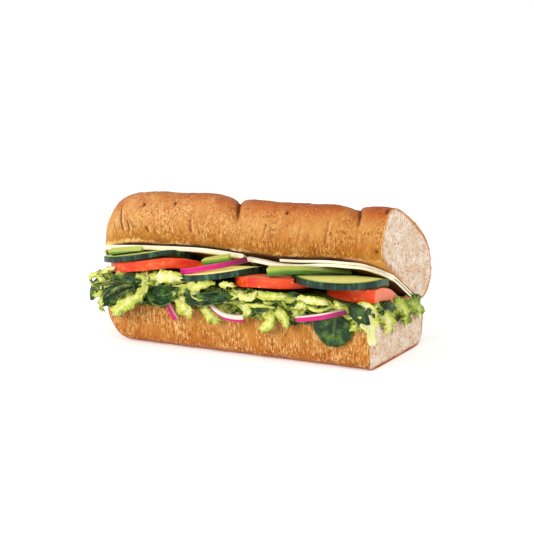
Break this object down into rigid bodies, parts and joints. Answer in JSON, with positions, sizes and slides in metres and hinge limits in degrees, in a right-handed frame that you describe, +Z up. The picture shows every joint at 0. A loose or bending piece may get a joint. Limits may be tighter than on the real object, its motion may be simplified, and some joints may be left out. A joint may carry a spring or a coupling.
{
  "type": "submarine sandwich",
  "caption": "Half submarine sandwich: split golden roll cut across at one end, filled with cheese, sliced vegetables, leaves and shredded lettuce.",
  "frame": {"origin": "on the flat underside of the lower bread half, below the middle of the filling", "axes": "+X along the loaf towards the knife cut, +Y from the open front to the back, +Z up"},
  "size_m": [0.1655, 0.0865, 0.0744],
  "materials": {
    "bread": "dry golden crust with a pale open crumb on the cut faces",
    "cheese": "smooth, slightly waxy, creamy white",
    "cucumber": "moist, dark skin and pale green flesh",
    "tomato": "moist, glossy red skin and lighter cut flesh",
    "pepper": "crisp, glossy green skin with a pale inside",
    "onion": "moist, magenta skin and pale pink flesh",
    "spinach": "dark green leaf with lighter veins, softly glossy",
    "lettuce": "crisp, moist, pale yellow to green"
  },
  "bodies": {
    "root": {"bread_heel": "bread", "bread_crown": "bread", "cheese_left": "cheese", "cheese_mid": "cheese", "cheese_right": "cheese", "cucumber_left": "cucumber", "cucumber_mid": "cucumber", "cucumber_right": "cucumber", "tomato_left": "tomato", "tomato_mid": "tomato", "tomato_right": "tomato", "pepper_left": "pepper", "pepper_mid": "pepper", "pepper_right": "pepper", "onion_upper": "onion", "onion_hanging": "onion", "onion_arc": "onion", "onion_low": "onion", "spinach_tip": "spinach", "spinach_upper": "spinach", "spinach_fan": "spinach", "spinach_curled": "spinach", "spinach_broad": "spinach", "spinach_long": "spinach", "spinach_slim": "spinach", "spinach_small": "spinach", "spinach_round": "spinach", "spinach_corner": "spinach", "spinach_cut": "spinach", "lettuce_heap": "lettuce"}
  },
  "joints": []
}
